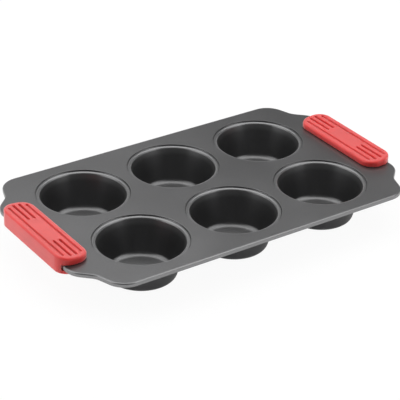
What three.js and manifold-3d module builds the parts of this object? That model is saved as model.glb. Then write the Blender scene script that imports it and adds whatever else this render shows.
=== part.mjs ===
// Muffin pan: a steel top plate with six cups under it and two silicone grips on its end tabs.
// Millimetres, +Z up, +X along the pan, origin on the table under the middle of the pan.
import * as THREE from "three";
import { mergeVertices } from "three/addons/utils/BufferGeometryUtils.js";
import Module from "manifold-3d";

const wasm = await Module();
wasm.setup();

// Steel sheet
const SHEET = 0.6;
const SEAM_GAP = 0.3;

// Cups, in rows along X
const COLUMNS = ["left", "middle", "right"];
const ROWS = ["front", "back"];
const CUP_SPACING = 6.3;
const MOUTH_RADIUS = 35;
const FLOOR_RADIUS = 27;
const CUP_DEPTH = 30.4;
const LIP_ROUND = 2.2;
const FLOOR_ROUND = 4.6;
const LEDGE_WIDTH = 3.2;
const FLANGE_LAP = 1.8;

// Plate rim: a skirt turned down round a soft edge, with a hem folded in under it
const SIDE_MARGIN = 12.15;
const RIM_ROUND = 2;
const RIM_HEIGHT = 3.6;
const HEM_ROUND = 1;
const HEM_WIDTH = 2.4;

// Plate outline at its ends: corner, notch beside the tab, shoulder of the tab
const CORNER_MARGIN = 9.6;
const CORNER_ROUND = 17.8;
const NOTCH_REACH = 8.2;
const NOTCH_RUN = 13.4;
const NOTCH_ROUND = 13.9;
const TAB_REACH = 22.1;
const SHOULDER_MARGIN = 7.3;
const SHOULDER_ROUND = 18;

// Grips
const GRIP_LENGTH = 97.8;
const GRIP_COVER = 23.2;
const GRIP_CORNER = 11.5;
const GRIP_TOP_EDGE = 1.8;
const GRIP_BASE_EDGE = 0.8;
const GRIP_TOP = 5.9;
const GRIP_FLOOR = 2.8;
const GRIP_WALL = 2.3;
const GRIP_TOP_SLOPE = 0.08;
const SLOT_ABOVE = 0.3;
const SLOT_BELOW = 0.9;
const SLOT_BEYOND = 0.9;
const SLOT_ROUND = 1.4;

// Grooves in the top of each grip
const GROOVE_PITCH = 5.2;
const GROOVE_WIDTH = 2.1;
const GROOVE_DEPTH = 1.7;
const GROOVE_END_MARGIN = 6.5;
const SHORT_GROOVE_END_MARGIN = 4;
const PAD_LENGTH = 37;

// Facets
const CUP_FACETS = 36;
const OUTLINE_STEP = THREE.MathUtils.degToRad(18);
const BEND_STEP = THREE.MathUtils.degToRad(45);
const GROOVE_END_FACETS = 4;

// How far a cutter runs past what it cuts
const CUT_MARGIN = 5;

// Places worked out from the sizes above
const DECK_TOP = CUP_DEPTH + SHEET;
const HOLE_RADIUS = MOUTH_RADIUS + LEDGE_WIDTH;
const FLANGE_RADIUS = HOLE_RADIUS + FLANGE_LAP;
const CUP_PITCH = 2 * FLANGE_RADIUS + CUP_SPACING;
const EDGE_Y = (CUP_PITCH * (ROWS.length - 1)) / 2 + HOLE_RADIUS + SIDE_MARGIN;
const CORNER_X = (CUP_PITCH * (COLUMNS.length - 1)) / 2 + HOLE_RADIUS + CORNER_MARGIN;
const SHOULDER_Y = GRIP_LENGTH / 2 + SHOULDER_MARGIN;
const TAB_X = CORNER_X + TAB_REACH;
const SLOT_X = TAB_X + SLOT_BEYOND;
const GRIP_INNER_X = TAB_X - GRIP_COVER;
const GRIP_OUTER_X = SLOT_X + GRIP_WALL;
const GRIP_MIDDLE_X = (GRIP_INNER_X + GRIP_OUTER_X) / 2;
const RIM_BOTTOM = DECK_TOP - RIM_HEIGHT;
const SLOT_BOTTOM = RIM_BOTTOM - SLOT_BELOW;

const steel = new THREE.MeshStandardMaterial({ color: 0x6a6a6b, roughness: 0.42, metalness: 0.8 });
const silicone = new THREE.MeshStandardMaterial({ color: 0xe2504e, roughness: 0.6, metalness: 0 });

// Unit direction from one point to the next
function direction(from, to) {
  return to.clone().sub(from).normalize();
}

// The unit vector to the left of a direction
function leftOf(heading) {
  return new THREE.Vector2(-heading.y, heading.x);
}

// Signed angle from one direction to another
function turnBetween(arriving, leaving) {
  return Math.atan2(arriving.cross(leaving), arriving.dot(leaving));
}

// Points of the arc that rounds one corner of a path
function cornerArc(before, at, after, radius, step) {
  const arriving = direction(before, at);
  const turn = turnBetween(arriving, direction(at, after));
  const start = at.clone().addScaledVector(arriving, -radius * Math.tan(Math.abs(turn) / 2));
  const centre = start.clone().addScaledVector(leftOf(arriving), radius * Math.sign(turn));
  const facets = Math.max(1, Math.ceil(Math.abs(turn) / step));
  return Array.from({ length: facets + 1 }, (_, facet) =>
    start.clone().rotateAround(centre, (turn * facet) / facets));
}

// Points along an open path whose corners are { at, round }; its two ends stay sharp
function roundedPath(corners, step = BEND_STEP) {
  return corners.flatMap(({ at, round }, index) => {
    const before = corners[index - 1];
    const after = corners[index + 1];
    return before && after && round > 0 ? cornerArc(before.at, at, after.at, round, step) : [at];
  });
}

// A corner of a path, with the radius that rounds it
function corner(x, y, round = 0) {
  return { at: new THREE.Vector2(x, y), round };
}

// The other face of a bent sheet: the path moved to its left by the sheet's thickness
function otherFace(corners) {
  return corners.map(({ at, round }, index) => {
    const before = corners[index - 1];
    const after = corners[index + 1];
    const arriving = before ? direction(before.at, at) : direction(at, after.at);
    const leaving = after ? direction(at, after.at) : arriving;
    const mitre = leftOf(arriving).add(leftOf(leaving));
    mitre.multiplyScalar(SHEET / (1 + arriving.dot(leaving)));
    const bend = round - SHEET * Math.sign(turnBetween(arriving, leaving));
    return { at: at.clone().add(mitre), round: Math.max(0, bend) };
  });
}

// A closed loop moved inwards by a distance, corner by corner; the loop runs anticlockwise
function insetLoop(loop, distance) {
  return loop.map((point, index) => {
    const arriving = direction(loop.at(index - 1), point);
    const leaving = direction(point, loop[(index + 1) % loop.length]);
    const mitre = leftOf(arriving).add(leftOf(leaving));
    return point.clone().addScaledVector(mitre, distance / (1 + arriving.dot(leaving)));
  });
}

// A quarter outline mirrored into a whole one, anticlockwise; the quarter runs from +X to +Y
function mirroredLoop(quarter) {
  const back = quarter.toReversed();
  const flip = (points, x, y) => points.map((point) => new THREE.Vector2(point.x * x, point.y * y));
  return [...quarter, ...flip(back, -1, 1), ...flip(quarter, -1, -1), ...flip(back, 1, -1)];
}

// A ring of points lifted to one height
function atHeight(loop, height) {
  return loop.map((point) => new THREE.Vector3(point.x, point.y, height));
}

// Triangles between two rings of as many points, facing outwards when the first ring is the lower one
function addBand(triangles, first, second) {
  first.forEach((point, index) => {
    const next = (index + 1) % first.length;
    triangles.push(point, first[next], second[next]);
    triangles.push(point, second[next], second[index]);
  });
}

// Triangles over a ring with holes in it, facing up or down
function addCap(triangles, ring, holes, up) {
  const points = [ring, ...holes].flat();
  for (const face of THREE.ShapeUtils.triangulateShape(ring, holes)) {
    const [a, b, c] = face.map((index) => points[index]);
    const anticlockwise = (b.x - a.x) * (c.y - a.y) > (b.y - a.y) * (c.x - a.x);
    triangles.push(a, ...(anticlockwise === up ? [b, c] : [c, b]));
  }
}

// Geometry from a list of triangle corners
function geometryFrom(triangles) {
  return new THREE.BufferGeometry().setFromPoints(triangles);
}

// A closed solid for cutting, from a geometry
function solidOf(geometry) {
  const bare = geometry.clone();
  bare.deleteAttribute("normal");
  bare.deleteAttribute("uv");
  const welded = mergeVertices(bare);
  return new wasm.Manifold(new wasm.Mesh({
    numProp: 3,
    vertProperties: Float32Array.from(welded.attributes.position.array),
    triVerts: Uint32Array.from(welded.index.array),
  }));
}

// Geometry of a solid that has been cut
function geometryOf(solid) {
  const { vertProperties, triVerts } = solid.getMesh();
  const geometry = new THREE.BufferGeometry();
  geometry.setAttribute("position", new THREE.BufferAttribute(vertProperties, 3));
  geometry.setIndex(new THREE.BufferAttribute(triVerts, 1));
  return geometry;
}

// Middle of a cup, by its column and row
function cupCentre(column, row) {
  return new THREE.Vector2(
    (column - (COLUMNS.length - 1) / 2) * CUP_PITCH,
    (row - (ROWS.length - 1) / 2) * CUP_PITCH,
  );
}

// Outer edge of the plate
function plateOutline() {
  return mirroredLoop(roundedPath([
    corner(TAB_X, 0),
    corner(TAB_X, SHOULDER_Y, SHOULDER_ROUND),
    corner(CORNER_X + NOTCH_REACH, SHOULDER_Y + NOTCH_RUN, NOTCH_ROUND),
    corner(CORNER_X, EDGE_Y, CORNER_ROUND),
    corner(0, EDGE_Y),
  ], OUTLINE_STEP).slice(1, -1));
}

// Section of the rim as [inset from the outer edge, height]: over the edge, round the hem, back under
function rimSection() {
  const top = [
    corner(RIM_ROUND + SHEET, DECK_TOP),
    corner(0, DECK_TOP, RIM_ROUND),
    corner(0, RIM_BOTTOM, HEM_ROUND),
    corner(HEM_WIDTH, RIM_BOTTOM),
  ];
  return [...roundedPath(top), ...roundedPath(otherFace(top)).reverse()];
}

// The top plate: flat sheet with a round hole over each cup, ending in the turned-down and hemmed rim
function topPlate() {
  const outline = plateOutline();
  const rings = rimSection().map(({ x, y }) => atHeight(insetLoop(outline, x), y));
  const triangles = [];
  rings.slice(1).forEach((ring, index) => addBand(triangles, ring, rings[index]));
  const topHoles = [];
  const underHoles = [];
  for (const column of COLUMNS.keys()) {
    for (const row of ROWS.keys()) {
      const circle = new THREE.EllipseCurve(...cupCentre(column, row), HOLE_RADIUS, HOLE_RADIUS);
      const loop = circle.getPoints(CUP_FACETS).slice(0, -1);
      topHoles.push(atHeight(loop, DECK_TOP));
      underHoles.push(atHeight(loop, DECK_TOP - SHEET));
      addBand(triangles, topHoles.at(-1), underHoles.at(-1));
    }
  }
  addCap(triangles, rings[0], topHoles, true);
  addCap(triangles, rings.at(-1), underHoles, false);
  return geometryFrom(triangles);
}

// One cup: a flange lapped under the plate, a rounded lip, a tapered wall and a flat floor
function cup() {
  const flange = DECK_TOP - SHEET - SEAM_GAP;
  const inside = [
    corner(FLANGE_RADIUS, flange),
    corner(MOUTH_RADIUS, flange, LIP_ROUND),
    corner(FLOOR_RADIUS, DECK_TOP - CUP_DEPTH, FLOOR_ROUND),
    corner(0, DECK_TOP - CUP_DEPTH),
  ];
  const profile = [...roundedPath(otherFace(inside)).reverse(), ...roundedPath(inside)];
  return new THREE.LatheGeometry(profile, CUP_FACETS).rotateX(Math.PI / 2);
}

// Height that the slope of a grip's top adds at a distance along X
function tiltAt(x) {
  return (x - GRIP_MIDDLE_X) * GRIP_TOP_SLOPE;
}

// Plan of a grip: a rectangle with round corners, anticlockwise
function gripPlan() {
  const halfWidth = (GRIP_OUTER_X - GRIP_INNER_X) / 2;
  const quarter = roundedPath([
    corner(halfWidth, 0),
    corner(halfWidth, GRIP_LENGTH / 2, GRIP_CORNER),
    corner(0, GRIP_LENGTH / 2),
  ], OUTLINE_STEP).slice(1, -1);
  return mirroredLoop(quarter).map((point) => point.add(new THREE.Vector2(GRIP_MIDDLE_X, 0)));
}

// Points that round an edge, as [inset, distance from the face], from the face to the side
function edgeRound(radius) {
  return roundedPath([corner(2 * radius, 0), corner(0, 0, radius), corner(0, 2 * radius)]).slice(1, -1);
}

// The block that a grip is cut from: rounded edges below and above, the top sloping up outwards
function gripBlock() {
  const plan = gripPlan();
  const bottom = SLOT_BOTTOM - GRIP_FLOOR;
  const top = DECK_TOP + GRIP_TOP;
  const lower = edgeRound(GRIP_BASE_EDGE).map(({ x, y }) => atHeight(insetLoop(plan, x), bottom + y));
  const upper = edgeRound(GRIP_TOP_EDGE).reverse().map(({ x, y }) => atHeight(insetLoop(plan, x), top - y));
  upper.flat().forEach((point) => point.setZ(point.z + tiltAt(point.x)));
  const rings = [...lower, ...upper];
  const triangles = [];
  rings.slice(1).forEach((ring, index) => addBand(triangles, rings[index], ring));
  addCap(triangles, rings[0], [], false);
  addCap(triangles, rings.at(-1), [], true);
  return geometryFrom(triangles);
}

// The slot that takes the tab: open towards the cups and at both ends, rounded at its outer end
function slotCutter() {
  const inner = GRIP_INNER_X - CUT_MARGIN;
  const height = DECK_TOP + SLOT_ABOVE;
  const halfLength = GRIP_LENGTH / 2 + CUT_MARGIN;
  const section = new THREE.Shape(roundedPath([
    corner(inner, SLOT_BOTTOM),
    corner(SLOT_X, SLOT_BOTTOM, SLOT_ROUND),
    corner(SLOT_X, height, SLOT_ROUND),
    corner(inner, height),
  ]));
  const cutter = new THREE.ExtrudeGeometry(section, { depth: 2 * halfLength, bevelEnabled: false });
  return cutter.rotateX(Math.PI / 2).translate(0, halfLength, 0);
}

// A groove along Y between two places, with round ends, following the slope of the grip's top
function grooveCutter(x, from, to) {
  const half = GROOVE_WIDTH / 2;
  const plan = new THREE.Shape();
  plan.absarc(x, to - half, half, 0, Math.PI);
  plan.absarc(x, from + half, half, Math.PI, 2 * Math.PI);
  const points = plan.getPoints(GROOVE_END_FACETS);
  const floor = DECK_TOP + GRIP_TOP - GROOVE_DEPTH;
  const rings = [floor, floor + CUT_MARGIN].map((height) => atHeight(points, height));
  rings.flat().forEach((point) => point.setZ(point.z + tiltAt(point.x)));
  const triangles = [];
  addBand(triangles, rings[0], rings[1]);
  addCap(triangles, rings[0], [], false);
  addCap(triangles, rings[1], [], true);
  return geometryFrom(triangles);
}

// The grooves of one grip: a long one at each side, and between them two that stop at a plain pad
function grooveCutters() {
  const longEnd = GRIP_LENGTH / 2 - GROOVE_END_MARGIN;
  const shortEnd = GRIP_LENGTH / 2 - SHORT_GROOVE_END_MARGIN;
  return [-1, 1].flatMap((side) => {
    const nearMiddle = GRIP_MIDDLE_X + (side * GROOVE_PITCH) / 2;
    const nearEdge = GRIP_MIDDLE_X + (side * 3 * GROOVE_PITCH) / 2;
    return [
      grooveCutter(nearEdge, -longEnd, longEnd),
      grooveCutter(nearMiddle, PAD_LENGTH / 2, shortEnd),
      grooveCutter(nearMiddle, -shortEnd, -PAD_LENGTH / 2),
    ];
  });
}

// One grip, on the tab at +X
function grip() {
  const cutters = [slotCutter(), ...grooveCutters()];
  const block = solidOf(gripBlock());
  return geometryOf(cutters.reduce((body, cutter) => body.subtract(solidOf(cutter)), block));
}

// A named sub-part in its group
function addPart(group, name, geometry, material) {
  geometry.computeVertexNormals();
  const mesh = new THREE.Mesh(geometry, material.clone());
  mesh.name = name;
  group.add(mesh);
  return mesh;
}

const pan = new THREE.Group();
pan.name = "muffin_pan";
addPart(pan, "top_plate", topPlate(), steel);
for (const [row, rowName] of ROWS.entries()) {
  for (const [column, columnName] of COLUMNS.entries()) {
    const mesh = addPart(pan, `cup_${rowName}_${columnName}`, cup(), steel);
    const centre = cupCentre(column, row);
    mesh.position.set(centre.x, centre.y, 0);
  }
}
addPart(pan, "grip_right", grip(), silicone);
addPart(pan, "grip_left", grip(), silicone).rotation.z = Math.PI;

export default pan;
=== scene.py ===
import math
import bmesh
import bpy
from mathutils import Matrix, Vector


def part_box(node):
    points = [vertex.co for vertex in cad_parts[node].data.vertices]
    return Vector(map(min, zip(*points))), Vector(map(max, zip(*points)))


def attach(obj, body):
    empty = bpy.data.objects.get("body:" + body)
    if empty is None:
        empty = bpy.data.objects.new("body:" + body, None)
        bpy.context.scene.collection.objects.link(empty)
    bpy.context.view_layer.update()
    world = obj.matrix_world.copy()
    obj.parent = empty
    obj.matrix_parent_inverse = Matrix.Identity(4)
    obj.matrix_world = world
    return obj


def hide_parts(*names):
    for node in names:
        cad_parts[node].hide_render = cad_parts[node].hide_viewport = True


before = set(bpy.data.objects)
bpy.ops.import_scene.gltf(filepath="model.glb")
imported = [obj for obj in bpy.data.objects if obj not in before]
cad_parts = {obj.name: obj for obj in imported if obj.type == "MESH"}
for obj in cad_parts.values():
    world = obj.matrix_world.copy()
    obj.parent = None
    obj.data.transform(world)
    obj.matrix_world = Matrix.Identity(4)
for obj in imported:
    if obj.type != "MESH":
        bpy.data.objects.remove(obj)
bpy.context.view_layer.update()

MM = 0.001

# Places taken from the frame
plate_low, plate_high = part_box("top_plate")
grip_low, grip_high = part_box("grip_right")
cup_low, cup_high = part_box("cup_front_left")
DECK_TOP = plate_high.z
RIM_BOTTOM = plate_low.z
EDGE_Y = plate_high.y
TAB_X = plate_high.x
FLANGE_TOP = cup_high.z
FLANGE_RADIUS = (cup_high.x - cup_low.x) / 2
GRIP_INNER_X = grip_low.x
GRIP_OUTER_X = grip_high.x
GRIP_MIDDLE_X = (GRIP_INNER_X + GRIP_OUTER_X) / 2
GRIP_LENGTH = grip_high.y - grip_low.y
GRIP_BOTTOM = grip_low.z

# Steel sheet: its thickness and the round of its cut edges
SHEET = 0.6 * MM
CUT_EDGE = 0.22 * MM

# Cups: a flange lapped under the plate, a gutter in it under the hole's edge, a ledge, a lip and a wall
FLANGE_LAP = 1.8 * MM
GUTTER_REACH = 0.45 * MM
GUTTER_DEPTH = 0.6 * MM
LEDGE_WIDTH = 3.2 * MM
LIP_ROUND = 2.2 * MM
WALL_TAPER = 8 * MM
FLOOR_ROUND = 4.6 * MM
HOLE_RADIUS = FLANGE_RADIUS - FLANGE_LAP
MOUTH_RADIUS = HOLE_RADIUS - LEDGE_WIDTH
FLOOR_RADIUS = MOUTH_RADIUS - WALL_TAPER

# Plate rim: a skirt turned down round a tight edge, with a hem folded in under it
RIM_ROUND = 1.2 * MM
HEM_ROUND = 0.7 * MM
HEM_WIDTH = 2.4 * MM

# Plate outline at its ends: corner, notch beside the tab, shoulder of the tab
TAB_REACH = 22.1 * MM
CORNER_ROUND = 17.8 * MM
NOTCH_REACH = 8.2 * MM
NOTCH_RUN = 13.4 * MM
NOTCH_ROUND = 13.9 * MM
SHOULDER_MARGIN = 7.3 * MM
SHOULDER_ROUND = 18 * MM
CORNER_X = TAB_X - TAB_REACH
SHOULDER_Y = GRIP_LENGTH / 2 + SHOULDER_MARGIN

# Grips: outer shape, and the slot with its gaps at the tab's end, under it and over it
GRIP_CORNER = 11.5 * MM
GRIP_TOP_EDGE = 1.8 * MM
GRIP_BASE_EDGE = 0.8 * MM
GRIP_TOP = 5.9 * MM
GRIP_TOP_SLOPE = 0.08
SLOT_END_GAP = 0.9 * MM
SLOT_UNDER_GAP = 0.9 * MM
SLOT_OVER_GAP = 0.3 * MM
SLOT_ROUND = 1.4 * MM
SLOT_LIP = 0.4 * MM
SLOT_X = TAB_X + SLOT_END_GAP
SLOT_BOTTOM = RIM_BOTTOM - SLOT_UNDER_GAP
SLOT_TOP = DECK_TOP + SLOT_OVER_GAP

# Grooves in the top of each grip
GROOVE_PITCH = 5.2 * MM
LONG_GROOVE_DEPTH = 1.3 * MM
SHORT_GROOVE_DEPTH = 2.1 * MM
LONG_GROOVE_MARGIN = 6.5 * MM
SHORT_GROOVE_MARGIN = 4 * MM
GROOVE_HALF_FLOOR = 0.85 * MM
GROOVE_HALF_MOUTH = 1.25 * MM
PAD_LENGTH = 37 * MM
LONG_GROOVE_END = GRIP_LENGTH / 2 - LONG_GROOVE_MARGIN
SHORT_GROOVE_END = GRIP_LENGTH / 2 - SHORT_GROOVE_MARGIN

# Fineness of the meshes, and the narrow strips beside bends that keep the flats flat
CUP_FACETS = 96
OUTLINE_STEP = math.radians(3)
BEND_STEP = math.radians(10)
BEND_FACETS = 7
GRIP_SPACING = 0.65 * MM
TOP_STEPS = 56
APRON = 1 * MM
HOLD = 0.2 * MM
SHORTEST_HELD = 4 * HOLD
WELD = 0.001 * MM

# Camera, worked out from the six round cup mouths in the photo
CAMERA_PLACE = Vector((-663.8, -945.7, 666.2)) * MM
CAMERA_TARGET = Vector((-14.0, -16.6, 31.0)) * MM
CAMERA_ROLL = math.radians(1.48)
CAMERA_LENS = 147.1

# Softboxes: each by its name, its turn to the right of the camera's line of sight and its rise in degrees,
# its width and height in metres and its brightness
SOFTBOXES = [
    ("overhead_softbox", 0, 62, 1.8, 1.0, 2.6),
    ("top_softbox", 0, 97, 1.8, 0.6, 1.5),
    ("back_left_softbox", -24, 28, 0.9, 0.45, 0.36),
    ("left_softbox", -104, 36, 0.9, 0.7, 1.9),
    ("right_softbox", 102, 42, 0.9, 0.6, 2.0),
]
# Low fills, given in the same way, that light the matte grips and aren't mirrored in the steel
FILLS = [
    ("low_left_fill", -80, 14, 0.8, 0.5, 4.0),
    ("low_right_fill", 105, 14, 0.9, 0.4, 3.0),
]
SOFTBOX_DISTANCE = 1.25

# Room: a white cove round the horizon, dim light higher up, and a dark card behind the camera
COVE_TOP = math.radians(12)
ROOM_BOTTOM = math.radians(28)
ROOM_LIGHT = 0.06
CARD_DISTANCE = 1.5
CARD_WIDTH = 3.0
CARD_HEIGHT = 0.6

# Floor: its reach to each side, its share of plain white to the camera, and its share in reflections, one
# on the open floor and one under the pan, with a soft change between two multiples of the pan's half size
FLOOR_REACH = 4.0
FLOOR_BELOW = 0.1 * MM
FLOOR_GLOW = 0.94
FLOOR_REFLECTED = 0.7
# Painted shadow: the floor's lower share of white in reflections under the pan
FLOOR_PAINTED_SHADOW = 0.2
SHADE_INSIDE = 1.0
SHADE_OUTSIDE = 1.6

# Coat of the steel: its greys from the dark to the light of its speckle, linear, and the heights between
# which one grey gives way to the next, some of them painted light and shade
DECK_GREYS = (0.127, 0.153)
# Painted highlight: the plate's rim and underside, and the cups' ledges and lips, lighter than the deck
RIM_HIGHLIGHT_GREYS = (0.210, 0.254)
LIP_HIGHLIGHT_GREYS = (0.155, 0.187)
# Painted shade: the cup walls below the lip, inside and out, darker than the deck
WALL_SHADE_GREYS = (0.096, 0.115)
# Painted light: the cup floors lighter, as though lit through the cups' mouths
CUP_FLOOR_LIGHT_GREYS = (0.180, 0.220)
COOL_TINT = 0.002
# Heights that bound the painted highlight on edges, the painted shade on cup walls and the painted light on
# cup floors
HIGHLIGHT_HEIGHTS = (DECK_TOP - 0.3 * MM, DECK_TOP - 0.05 * MM)
WALL_SHADE_HEIGHTS = (23 * MM, 27.5 * MM)
CUP_FLOOR_HEIGHTS = (1 * MM, 4 * MM)
METALLIC = 0.85
SATIN_ROUGHNESS = (0.28, 0.33)
CUP_FLOOR_ROUGHNESS = (0.42, 0.47)
SPECKLE_DEPTH = 0.004 * MM

# Silicone of the grips: its colours, linear, the light that scatters inside it, and its surface
SILICONE_DEEP = (0.54, 0.022, 0.020, 1)
SILICONE_PALE = (0.61, 0.030, 0.027, 1)
SCATTER = (1, 0.25, 0.2)
SCATTER_WEIGHT = 0.6
SCATTER_DEPTH = 5 * MM
SHEEN_WEIGHT = 0.6
SHEEN_ROUGHNESS = 0.4
SILICONE_ROUGHNESS = (0.42, 0.52)
GRAIN_DEPTH = 0.012 * MM

# Patterns as cells in a metre and levels of detail, and the range that most of such a pattern lies in
SPECKLE = (2400, 2)
COAT_CLOUD = (22, 3)
GRAIN = (3200, 2)
SILICONE_CLOUD = (60, 3)
PATTERN_LOW = 0.3
PATTERN_HIGH = 0.7

# Studio surfaces: their colours, linear, and the roughness of the floor and the card
WHITE = (1, 1, 1, 1)
FLOOR_COLOUR = (0.95, 0.95, 0.95, 1)
CARD_COLOUR = (0.03, 0.03, 0.03, 1)
STUDIO_ROUGHNESS = 0.9


def left_of(heading):
    """The unit vector to the left of a heading."""
    return Vector((-heading.y, heading.x))


def turn_between(arriving, leaving):
    """Signed angle from one heading to another."""
    return math.atan2(arriving.cross(leaving), arriving.dot(leaving))


def corner_arc(before, at, after, radius, step):
    """Points of the arc that rounds one corner of a path."""
    arriving = (at - before).normalized()
    turn = turn_between(arriving, (after - at).normalized())
    start = at - arriving * radius * math.tan(abs(turn) / 2)
    centre = start + left_of(arriving) * math.copysign(radius, turn)
    facets = max(1, math.ceil(abs(turn) / step))
    return [centre + Matrix.Rotation(turn * facet / facets, 2) @ (start - centre)
            for facet in range(facets + 1)]


def rounded_path(corners, step=BEND_STEP):
    """Points along an open path of (point, radius) corners; its two ends stay sharp."""
    path = [corners[0][0]]
    for (before, _), (at, radius), (after, _) in zip(corners, corners[1:], corners[2:]):
        path += corner_arc(before, at, after, radius, step) if radius > 0 else [at]
    return path + [corners[-1][0]]


def corner(x, y, radius=0.0):
    """A corner of a path and the radius that rounds it."""
    return Vector((x, y)), radius


def other_face(corners, thickness):
    """The other face of a bent sheet: the path moved to its left by the thickness."""
    points = [at for at, _ in corners]
    headings = [(after - before).normalized() for before, after in zip(points, points[1:])]
    arrivals = headings[:1] + headings
    departures = headings + headings[-1:]
    moved = []
    for (at, radius), arriving, leaving in zip(corners, arrivals, departures):
        mitre = (left_of(arriving) + left_of(leaving)) * (thickness / (1 + arriving.dot(leaving)))
        bend = radius - math.copysign(thickness, turn_between(arriving, leaving) * thickness)
        moved.append((at + mitre, max(0.0, bend) if radius else 0.0))
    return moved


def held(path, shortest=SHORTEST_HELD):
    """The path with a point close to each end of its long straights, so that shading keeps them flat."""
    points = [path[0]]
    for start, end in zip(path, path[1:]):
        length = (end - start).length
        if length > shortest:
            points += [start.lerp(end, HOLD / length), end.lerp(start, HOLD / length)]
        points.append(end)
    return points


def split(path, spacing):
    """The path with its long stretches cut into even steps."""
    points = [path[0]]
    for start, end in zip(path, path[1:]):
        steps = max(1, math.ceil((end - start).length / spacing))
        points += [start.lerp(end, step / steps) for step in range(1, steps + 1)]
    return points


def mirrored_loop(quarter):
    """A quarter outline, from +X to +Y, mirrored into a whole one that runs anticlockwise."""
    back = quarter[::-1]
    turns = [(quarter, 1, 1), (back, -1, 1), (quarter, -1, -1), (back, 1, -1)]
    return [Vector((point.x * x, point.y * y)) for points, x, y in turns for point in points]


def inset_loop(loop, distance):
    """A closed anticlockwise loop moved inwards by a distance."""
    moved = []
    for before, at, after in zip(loop[-1:] + loop[:-1], loop, loop[1:] + loop[:1]):
        arriving = (at - before).normalized()
        leaving = (after - at).normalized()
        mitre = left_of(arriving) + left_of(leaving)
        moved.append(at + mitre * (distance / (1 + arriving.dot(leaving))))
    return moved


def circle(centre, radius):
    """Points round a circle, anticlockwise."""
    angles = [math.tau * facet / CUP_FACETS for facet in range(CUP_FACETS)]
    return [centre + Vector((math.cos(angle), math.sin(angle))) * radius for angle in angles]


def add_ring(mesh, loop, height):
    """A ring of new vertices at one height."""
    return [mesh.verts.new((point.x, point.y, height)) for point in loop]


def add_bands(mesh, rings):
    """Faces between each ring and the next."""
    for first, second in zip(rings, rings[1:]):
        for a, b, c, d in zip(first, first[1:] + first[:1], second[1:] + second[:1], second):
            mesh.faces.new((a, b, c, d))


def fill_flat(mesh, rings):
    """Faces over a flat region between rings of vertices."""
    edges = [mesh.edges.get(pair) for ring in rings for pair in zip(ring, ring[1:] + ring[:1])]
    bmesh.ops.triangle_fill(mesh, edges=edges, use_beauty=True)


def new_object(mesh, name, material):
    """The object made of a finished mesh."""
    data = bpy.data.meshes.new(name)
    mesh.to_mesh(data)
    mesh.free()
    data.materials.append(material)
    thing = bpy.data.objects.new(name, data)
    bpy.context.collection.objects.link(thing)
    return thing


def new_piece(mesh, name, material, body, node):
    """The smooth piece made of a finished mesh, in its body and in place of its node."""
    bmesh.ops.recalc_face_normals(mesh, faces=mesh.faces)
    piece = new_object(mesh, name, material)
    piece.data.shade_smooth()
    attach(piece, body)
    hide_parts(node)


def cup_centre(node):
    """Middle of a cup in plan."""
    low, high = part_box(node)
    return ((low + high) / 2).xy


def plate_outline():
    """Outer edge of the plate."""
    quarter = rounded_path([
        corner(TAB_X, 0),
        corner(TAB_X, SHOULDER_Y, SHOULDER_ROUND),
        corner(CORNER_X + NOTCH_REACH, SHOULDER_Y + NOTCH_RUN, NOTCH_ROUND),
        corner(CORNER_X, EDGE_Y, CORNER_ROUND),
        corner(0, EDGE_Y),
    ], OUTLINE_STEP)
    return mirrored_loop(held(quarter, RIM_ROUND)[1:-1])


def rim_section():
    """Section of the rim as (inset, height): over the edge, round the hem and back under the deck."""
    top = [
        corner(RIM_ROUND + SHEET + APRON, DECK_TOP),
        corner(0, DECK_TOP, RIM_ROUND),
        corner(0, RIM_BOTTOM, HEM_ROUND),
        corner(HEM_WIDTH, RIM_BOTTOM, CUT_EDGE),
    ]
    under = other_face(top[:-1] + [corner(HEM_WIDTH, RIM_BOTTOM)], SHEET)
    inner_edge = (under[-1][0], CUT_EDGE)
    return held(rounded_path(top + [inner_edge] + under[-2::-1]))


def hole_section():
    """Section of a hole's edge as (radius, height), from the top of the deck to its underside."""
    under = DECK_TOP - SHEET
    return held(rounded_path([
        corner(HOLE_RADIUS + APRON, DECK_TOP),
        corner(HOLE_RADIUS, DECK_TOP, CUT_EDGE),
        corner(HOLE_RADIUS, under, CUT_EDGE),
        corner(HOLE_RADIUS + APRON, under),
    ]))


def make_plate(material, cups):
    """The top plate: flat sheet with a hole over each cup, and the turned-down and hemmed rim."""
    mesh = bmesh.new()
    outline = plate_outline()
    rim = [add_ring(mesh, inset_loop(outline, inset), height) for inset, height in rim_section()]
    add_bands(mesh, rim)
    tops = [rim[0]]
    unders = [rim[-1]]
    for cup in cups:
        centre = cup_centre(cup)
        hole = [add_ring(mesh, circle(centre, radius), height) for radius, height in hole_section()]
        add_bands(mesh, hole)
        tops.append(hole[0])
        unders.append(hole[-1])
    fill_flat(mesh, tops)
    fill_flat(mesh, unders)
    new_piece(mesh, "fine_plate", material, "pan", "top_plate")


def cup_section():
    """Section of a cup as (radius, height), from the middle of its floor to the flange and back under."""
    floor = SHEET
    gutter_floor = FLANGE_TOP - GUTTER_DEPTH
    inside = [
        corner(0, floor),
        corner(FLOOR_RADIUS, floor, FLOOR_ROUND),
        corner(MOUTH_RADIUS, FLANGE_TOP, LIP_ROUND),
        corner(HOLE_RADIUS - GUTTER_REACH, FLANGE_TOP, CUT_EDGE),
        corner(HOLE_RADIUS - GUTTER_REACH, gutter_floor),
        corner(HOLE_RADIUS + GUTTER_REACH, gutter_floor),
        corner(HOLE_RADIUS + GUTTER_REACH, FLANGE_TOP),
        corner(FLANGE_RADIUS, FLANGE_TOP),
    ]
    outside = other_face(inside, -SHEET)
    rim = [(at, CUT_EDGE) for at, _ in (inside[-1], outside[-1])]
    return held(rounded_path(inside[:-1] + rim + outside[-2::-1]))


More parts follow.
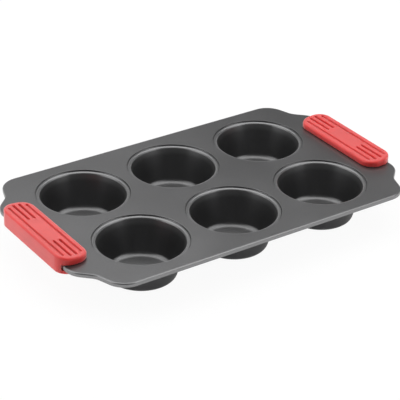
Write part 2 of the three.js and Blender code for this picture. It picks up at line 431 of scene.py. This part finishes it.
def make_cup(node, material):
    """One cup: a flange lapped under the plate, a ledge, a rounded lip, a tapered wall and a flat floor."""
    mesh = bmesh.new()
    centre = cup_centre(node)
    section = cup_section()
    rings = [add_ring(mesh, circle(centre, radius), height) for radius, height in section[1:-1]]
    add_bands(mesh, rings)
    for ring in (rings[0], rings[-1]):
        mesh.faces.new(ring)
    new_piece(mesh, f"fine_{node}", material, "pan", node)


def groove_lines():
    """The right grip's grooves as (x, start, end, depth): long outer ones, and short ones by the pad."""
    lines = []
    for side in (-1, 1):
        near_pad = GRIP_MIDDLE_X + side * GROOVE_PITCH / 2
        near_edge = GRIP_MIDDLE_X + side * GROOVE_PITCH * 3 / 2
        lines.append((near_edge, -LONG_GROOVE_END, LONG_GROOVE_END, LONG_GROOVE_DEPTH))
        lines.append((near_pad, PAD_LENGTH / 2, SHORT_GROOVE_END, SHORT_GROOVE_DEPTH))
        lines.append((near_pad, -SHORT_GROOVE_END, -PAD_LENGTH / 2, SHORT_GROOVE_DEPTH))
    return lines


def smooth_step(value):
    """A soft step from 0 to 1."""
    share = min(max(value, 0.0), 1.0)
    return share * share * (3 - 2 * share)


def groove_drop(x, y):
    """How far the grooves lower the grip's top at a place."""
    drop = 0.0
    side_width = GROOVE_HALF_MOUTH - GROOVE_HALF_FLOOR
    for line, start, end, depth in groove_lines():
        along = min(max(y, start + GROOVE_HALF_MOUTH), end - GROOVE_HALF_MOUTH)
        away = math.hypot(x - line, y - along)
        share = 1 - smooth_step((away - GROOVE_HALF_FLOOR) / side_width)
        drop = max(drop, depth * share)
    return drop


def grip_height(x):
    """Height of a grip's sloping top."""
    return DECK_TOP + GRIP_TOP + (x - GRIP_MIDDLE_X) * GRIP_TOP_SLOPE


def grip_plan():
    """Plan of the right grip, anticlockwise from the middle of its outer side."""
    half_width = (GRIP_OUTER_X - GRIP_INNER_X) / 2
    quarter = rounded_path([
        corner(half_width, 0),
        corner(half_width, GRIP_LENGTH / 2, GRIP_CORNER),
        corner(0, GRIP_LENGTH / 2),
    ], OUTLINE_STEP)
    loop = mirrored_loop(split(quarter, GRIP_SPACING)[1:-1])
    return [point + Vector((GRIP_MIDDLE_X, 0)) for point in loop]


def quarter_round(radius):
    """Points of a quarter round as (inset, drop), from the side of a piece to the face that it meets."""
    angles = [math.pi / 2 * facet / BEND_FACETS for facet in range(BEND_FACETS + 1)]
    return [(radius * (1 - math.cos(angle)), radius * (1 - math.sin(angle))) for angle in angles]


def placed(point, inward, inset, height):
    """A place at an inset from a point on the plan, at a height."""
    return (point + inward * inset).to_3d() + Vector((0, 0, height))


def spine_of(point):
    """The place on the middle line of a grip that a spoke runs to."""
    reach = (GRIP_LENGTH - GRIP_OUTER_X + GRIP_INNER_X) / 2
    return Vector((GRIP_MIDDLE_X, min(max(point.y, -reach), reach)))


def under_path(point, inward):
    """The underside of a spoke, from the middle line out to the grip's side."""
    edge = [placed(point, inward, inset, GRIP_BOTTOM + drop)
            for inset, drop in reversed(quarter_round(GRIP_BASE_EDGE))]
    support = placed(point, inward, GRIP_BASE_EDGE + HOLD, GRIP_BOTTOM)
    return [spine_of(point).to_3d() + Vector((0, 0, GRIP_BOTTOM)), support] + edge


def slot_half(point, inward, back, height, side):
    """Half of a spoke's slot, from its lip to its back; side is 1 for the floor and -1 for the ceiling."""
    reach = SLOT_X - point.x
    lip = min(SLOT_LIP, reach / 2)
    bend = min(SLOT_ROUND, reach / 2)
    entry = [placed(point, inward, inset, height - side * drop) for inset, drop in quarter_round(lip)]
    foot = Vector((SLOT_X - bend, back, height))
    support = entry[-1].lerp(foot, HOLD / (foot - entry[-1]).length)
    turn = [Vector((SLOT_X - inset, back, height + side * drop))
            for inset, drop in reversed(quarter_round(bend))]
    return entry + [support] + turn


def slot_path(point, inward, back):
    """The slot on a spoke of the open sides, from its lower lip to its back and out to its upper lip."""
    floor = slot_half(point, inward, back, SLOT_BOTTOM, 1)
    ceiling = slot_half(point, inward, back, SLOT_TOP, -1)
    return floor + ceiling[::-1]


def wall_path(point, inward, count):
    """The side of a spoke where there is no slot, with as many points as the slot has."""
    low = placed(point, inward, 0, SLOT_BOTTOM - SLOT_LIP)
    high = placed(point, inward, 0, SLOT_TOP + SLOT_LIP)
    return [low.lerp(high, step / (count - 1)) for step in range(count)]


def top_path(point, inward):
    """The top of a spoke, from the grip's side over its edge and the grooves to the middle line."""
    edge = [placed(point, inward, inset, -drop) for inset, drop in quarter_round(GRIP_TOP_EDGE)]
    inner = edge[-1]
    spine = spine_of(point).to_3d()
    path = edge + [inner.lerp(spine, step / TOP_STEPS) for step in range(1, TOP_STEPS + 1)]
    for place in path:
        place.z += grip_height(place.x) - groove_drop(place.x, place.y)
    return path


def grip_spokes():
    """Every spoke of the right grip, each from the middle of its underside to the middle of its top."""
    plan = grip_plan()
    inwards = [left_of((after - before).normalized())
               for before, after in zip(plan[-1:] + plan[:-1], plan[1:] + plan[:1])]
    opening = [index for index, point in enumerate(plan) if point.x < SLOT_X - HOLD]
    first, last = plan[opening[0]], plan[opening[-1]]
    slots = {}
    for step, index in enumerate(opening):
        back = first.y + (last.y - first.y) * step / (len(opening) - 1)
        slots[index] = slot_path(plan[index], inwards[index], back)
    count = len(slots[opening[0]])
    spokes = []
    for index, (point, inward) in enumerate(zip(plan, inwards)):
        side = slots.get(index) or wall_path(point, inward, count)
        spokes.append(under_path(point, inward) + side + top_path(point, inward))
    return spokes


def make_grip(side, turn, material):
    """One grip: a silicone sleeve with a slot for the tab and grooves in its sloping top."""
    mesh = bmesh.new()
    placing = Matrix.Rotation(turn, 4, "Z")
    spokes = [[mesh.verts.new(placing @ place) for place in spoke] for spoke in grip_spokes()]
    for spoke, beside in zip(spokes, spokes[1:] + spokes[:1]):
        for a, b, c, d in zip(spoke, beside, beside[1:], spoke[1:]):
            mesh.faces.new((a, b, c, d))
    bmesh.ops.remove_doubles(mesh, verts=mesh.verts, dist=WELD)
    new_piece(mesh, f"fine_grip_{side}", material, f"{side}_grip", f"grip_{side}")


def new_material(name):
    """A node material, its nodes and its main shader."""
    material = bpy.data.materials.new(name)
    material.use_nodes = True
    tree = material.node_tree
    return material, tree, tree.nodes["Principled BSDF"]


def ranged(tree, value, start, end, low, high, kind="LINEAR"):
    """A value carried from the range start to end over to the range low to high, and held at its ends."""
    node = tree.nodes.new("ShaderNodeMapRange")
    node.interpolation_type = kind
    node.inputs["From Min"].default_value = start
    node.inputs["From Max"].default_value = end
    node.inputs["To Min"].default_value = low
    node.inputs["To Max"].default_value = high
    tree.links.new(value, node.inputs["Value"])
    return node.outputs["Result"]


def combined(tree, operation, first, second):
    """Two values put together by a math operation."""
    node = tree.nodes.new("ShaderNodeMath")
    node.operation = operation
    tree.links.new(first, node.inputs[0])
    tree.links.new(second, node.inputs[1])
    return node.outputs[0]


def mixed(tree, kind, share, first, second):
    """A mix of two colours or values, by a share of the second."""
    mix = tree.nodes.new("ShaderNodeMix")
    mix.data_type = kind
    sockets = [socket for socket in mix.inputs if socket.enabled]
    for source, socket in zip((share, first, second), sockets):
        tree.links.new(source, socket)
    return next(socket for socket in mix.outputs if socket.enabled)


def height_in(tree, coordinates):
    """The height of a point in one kind of coordinates."""
    where = tree.nodes.new("ShaderNodeTexCoord")
    parts = tree.nodes.new("ShaderNodeSeparateXYZ")
    tree.links.new(where.outputs[coordinates], parts.inputs[0])
    return parts.outputs["Z"]


def below(tree, low, high):
    """1 below a low height of the piece, 0 above a high one and a soft step between them."""
    return ranged(tree, height_in(tree, "Object"), low, high, 1, 0, "SMOOTHSTEP")


def noise(tree, scale, detail):
    """A noise pattern fixed to the piece, with so many cells in a metre."""
    where = tree.nodes.new("ShaderNodeTexCoord")
    texture = tree.nodes.new("ShaderNodeTexNoise")
    texture.inputs["Scale"].default_value = scale
    texture.inputs["Detail"].default_value = detail
    tree.links.new(where.outputs["Object"], texture.inputs["Vector"])
    return texture.outputs["Fac"]


def value_by(tree, pattern, low, high):
    """A value that runs from low to high with a pattern."""
    return ranged(tree, pattern, PATTERN_LOW, PATTERN_HIGH, low, high)


def colour_by(tree, pattern, dark, light):
    """A colour that runs from dark to light with a pattern."""
    ramp = tree.nodes.new("ShaderNodeValToRGB")
    stops = zip(ramp.color_ramp.elements, (PATTERN_LOW, PATTERN_HIGH), (dark, light))
    for stop, position, colour in stops:
        stop.position = position
        stop.color = colour
    tree.links.new(pattern, ramp.inputs["Fac"])
    return ramp.outputs["Color"]


def grey_by(tree, pattern, greys):
    """A faintly cool grey that runs from the first to the second of two greys with a pattern."""
    dark, light = [(grey, grey, grey + COOL_TINT, 1) for grey in greys]
    return colour_by(tree, pattern, dark, light)


def bump_by(tree, pattern, depth):
    """A surface roughened by a pattern to a depth."""
    bump = tree.nodes.new("ShaderNodeBump")
    bump.inputs["Strength"].default_value = 1
    bump.inputs["Distance"].default_value = depth
    tree.links.new(pattern, bump.inputs["Height"])
    return bump.outputs["Normal"]


def coated_steel(name, highlight_greys):
    """Dark grey non-stick coat of speckled satin: painted highlight on edges, shade on cup walls, light on
    cup floors.
    """
    material, tree, shader = new_material(name)
    speckle = noise(tree, *SPECKLE)
    cloud = noise(tree, *COAT_CLOUD)
    # Below the deck's top: painted highlight
    on_highlit_edge = below(tree, *HIGHLIGHT_HEIGHTS)
    # Cup walls: painted shade
    in_wall_shade = below(tree, *WALL_SHADE_HEIGHTS)
    # Cup floors: painted light
    on_cup_floor = below(tree, *CUP_FLOOR_HEIGHTS)
    satin = grey_by(tree, speckle, DECK_GREYS)
    highlit = grey_by(tree, speckle, highlight_greys)
    wall_shade = grey_by(tree, speckle, WALL_SHADE_GREYS)
    cup_floor_light = grey_by(tree, speckle, CUP_FLOOR_LIGHT_GREYS)
    # Painted highlight on everything below the deck's top
    upper = mixed(tree, "RGBA", on_highlit_edge, satin, highlit)
    # Painted shade on the cup walls
    coat = mixed(tree, "RGBA", in_wall_shade, upper, wall_shade)
    smooth = value_by(tree, cloud, *SATIN_ROUGHNESS)
    rough = value_by(tree, cloud, *CUP_FLOOR_ROUGHNESS)
    shader.inputs["Metallic"].default_value = METALLIC
    # Painted light on the cup floors, which are rougher too
    tree.links.new(mixed(tree, "RGBA", on_cup_floor, coat, cup_floor_light), shader.inputs["Base Color"])
    tree.links.new(mixed(tree, "FLOAT", on_cup_floor, smooth, rough), shader.inputs["Roughness"])
    tree.links.new(bump_by(tree, speckle, SPECKLE_DEPTH), shader.inputs["Normal"])
    return material


def silicone():
    """Red silicone: matte and faintly translucent, with the fine grain of its mould."""
    material, tree, shader = new_material("grip_silicone")
    grain = noise(tree, *GRAIN)
    cloud = noise(tree, *SILICONE_CLOUD)
    shader.inputs["Subsurface Weight"].default_value = SCATTER_WEIGHT
    shader.inputs["Subsurface Radius"].default_value = SCATTER
    shader.inputs["Subsurface Scale"].default_value = SCATTER_DEPTH
    shader.inputs["Sheen Weight"].default_value = SHEEN_WEIGHT
    shader.inputs["Sheen Roughness"].default_value = SHEEN_ROUGHNESS
    tree.links.new(colour_by(tree, cloud, SILICONE_DEEP, SILICONE_PALE), shader.inputs["Base Color"])
    tree.links.new(value_by(tree, grain, *SILICONE_ROUGHNESS), shader.inputs["Roughness"])
    tree.links.new(bump_by(tree, grain, GRAIN_DEPTH), shader.inputs["Normal"])
    return material


def away_from_pan(tree, inside, outside):
    """A value that is inside under the pan and grows to outside on the open floor round it."""
    where = tree.nodes.new("ShaderNodeTexCoord")
    scaled = tree.nodes.new("ShaderNodeVectorMath")
    scaled.operation = "DIVIDE"
    scaled.inputs[1].default_value = (TAB_X, EDGE_Y, 1)
    distance = tree.nodes.new("ShaderNodeVectorMath")
    distance.operation = "LENGTH"
    tree.links.new(where.outputs["Object"], scaled.inputs[0])
    tree.links.new(scaled.outputs["Vector"], distance.inputs[0])
    away = distance.outputs["Value"]
    return ranged(tree, away, SHADE_INSIDE, SHADE_OUTSIDE, inside, outside, "SMOOTHSTEP")


def floor_paint():
    """White to the camera and in reflections, with real shading for a faint shadow and a painted shadow in
    reflections under the pan.
    """
    material, tree, shader = new_material("studio_floor")
    shader.inputs["Base Color"].default_value = FLOOR_COLOUR
    shader.inputs["Roughness"].default_value = STUDIO_ROUGHNESS
    shader.inputs["Specular IOR Level"].default_value = 0
    glow = tree.nodes.new("ShaderNodeEmission")
    glow.inputs["Color"].default_value = WHITE
    rays = tree.nodes.new("ShaderNodeLightPath").outputs
    seen = ranged(tree, rays["Is Camera Ray"], 0, 1, 0, FLOOR_GLOW)
    mirrored = combined(tree, "MAXIMUM", rays["Is Glossy Ray"], rays["Is Transmission Ray"])
    # Painted shadow: the floor glows less in reflections under the pan
    reflected = combined(tree, "MULTIPLY", mirrored, away_from_pan(tree, FLOOR_PAINTED_SHADOW, FLOOR_REFLECTED))
    mix = tree.nodes.new("ShaderNodeMixShader")
    tree.links.new(combined(tree, "MAXIMUM", seen, reflected), mix.inputs[0])
    tree.links.new(shader.outputs[0], mix.inputs[1])
    tree.links.new(glow.outputs[0], mix.inputs[2])
    tree.links.new(mix.outputs[0], tree.nodes["Material Output"].inputs["Surface"])
    return material


def make_sheet(name, placing, material):
    """A flat square sheet of the studio, one unit to each side of its middle before it is placed."""
    mesh = bmesh.new()
    bmesh.ops.create_grid(mesh, x_segments=1, y_segments=1, size=1, matrix=placing)
    sheet = new_object(mesh, name, material)
    return sheet


def make_floor():
    """A wide plain floor just under the pan."""
    placing = Matrix.Translation((0, 0, -FLOOR_BELOW)) @ Matrix.Diagonal((FLOOR_REACH, FLOOR_REACH, 1, 1))
    make_sheet("studio_floor", placing, floor_paint())


def line_of_sight():
    """The level direction in which the camera looks."""
    return (CAMERA_TARGET - CAMERA_PLACE).xy.normalized()


def make_dark_card():
    """A dark card that stands behind the camera, so that edges facing the camera reflect it."""
    material, _, shader = new_material("dark_card")
    shader.inputs["Base Color"].default_value = CARD_COLOUR
    shader.inputs["Roughness"].default_value = STUDIO_ROUGHNESS
    away = -line_of_sight().to_3d()
    placing = (Matrix.Translation(away * CARD_DISTANCE + Vector((0, 0, CARD_HEIGHT / 2)))
               @ away.to_track_quat("Z", "Y").to_matrix().to_4x4()
               @ Matrix.Diagonal((CARD_WIDTH / 2, CARD_HEIGHT / 2, 1, 1)))
    card = make_sheet("dark_card", placing, material)
    card.visible_camera = False


def make_world():
    """A white cove round the horizon under a dimmer room."""
    world = bpy.data.worlds.new("studio")
    world.use_nodes = True
    tree = world.node_tree
    rise = height_in(tree, "Generated")
    light = ranged(tree, rise, math.sin(COVE_TOP), math.sin(ROOM_BOTTOM), 1, ROOM_LIGHT, "SMOOTHSTEP")
    background = tree.nodes["Background"]
    background.inputs["Color"].default_value = WHITE
    tree.links.new(light, background.inputs["Strength"])
    bpy.context.scene.world = world


def make_softbox(name, turn, rise, width, height, brightness):
    """A soft rectangular light that faces the pan, as bright as a mirror in its place would show it."""
    target = Vector((0, 0, DECK_TOP))
    level = Matrix.Rotation(-math.radians(turn), 2) @ line_of_sight()
    climb = math.radians(rise)
    direction = level.to_3d() * math.cos(climb) + Vector((0, 0, math.sin(climb)))
    light = bpy.data.lights.new(name, "AREA")
    light.shape = "RECTANGLE"
    light.size = width
    light.size_y = height
    light.energy = brightness * math.pi * width * height
    lamp = bpy.data.objects.new(name, light)
    lamp.location = target + direction * SOFTBOX_DISTANCE
    lamp.rotation_euler = (-direction).to_track_quat("-Z", "Y").to_euler()
    bpy.context.collection.objects.link(lamp)
    return lamp


def make_camera():
    """The camera of the photo."""
    lens = bpy.data.cameras.new("photo_camera")
    lens.lens = CAMERA_LENS
    camera = bpy.data.objects.new("photo_camera", lens)
    facing = (CAMERA_TARGET - CAMERA_PLACE).to_track_quat("-Z", "Y").to_matrix().to_4x4()
    roll = Matrix.Rotation(CAMERA_ROLL, 4, "Z")
    camera.matrix_world = Matrix.Translation(CAMERA_PLACE) @ facing @ roll
    bpy.context.collection.objects.link(camera)
    bpy.context.scene.camera = camera


def make_pan():
    """Every piece of the pan, in finer form than in the frame."""
    # The plate and the cups each get their own greys of painted highlight on their edges
    plate_coat = coated_steel("plate_coating", RIM_HIGHLIGHT_GREYS)
    cup_coat = coated_steel("cup_coating", LIP_HIGHLIGHT_GREYS)
    cups = [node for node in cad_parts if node.startswith("cup_")]
    make_plate(plate_coat, cups)
    for cup in cups:
        make_cup(cup, cup_coat)
    rubber = silicone()
    make_grip("right", 0, rubber)
    make_grip("left", math.pi, rubber)


def make_studio():
    """Floor, dark card, world, lights and camera."""
    make_floor()
    make_dark_card()
    make_world()
    for softbox in SOFTBOXES:
        make_softbox(*softbox)
    for fill in FILLS:
        make_softbox(*fill).visible_glossy = False
    make_camera()
    bpy.context.scene.view_settings.view_transform = "Standard"


make_pan()
make_studio()
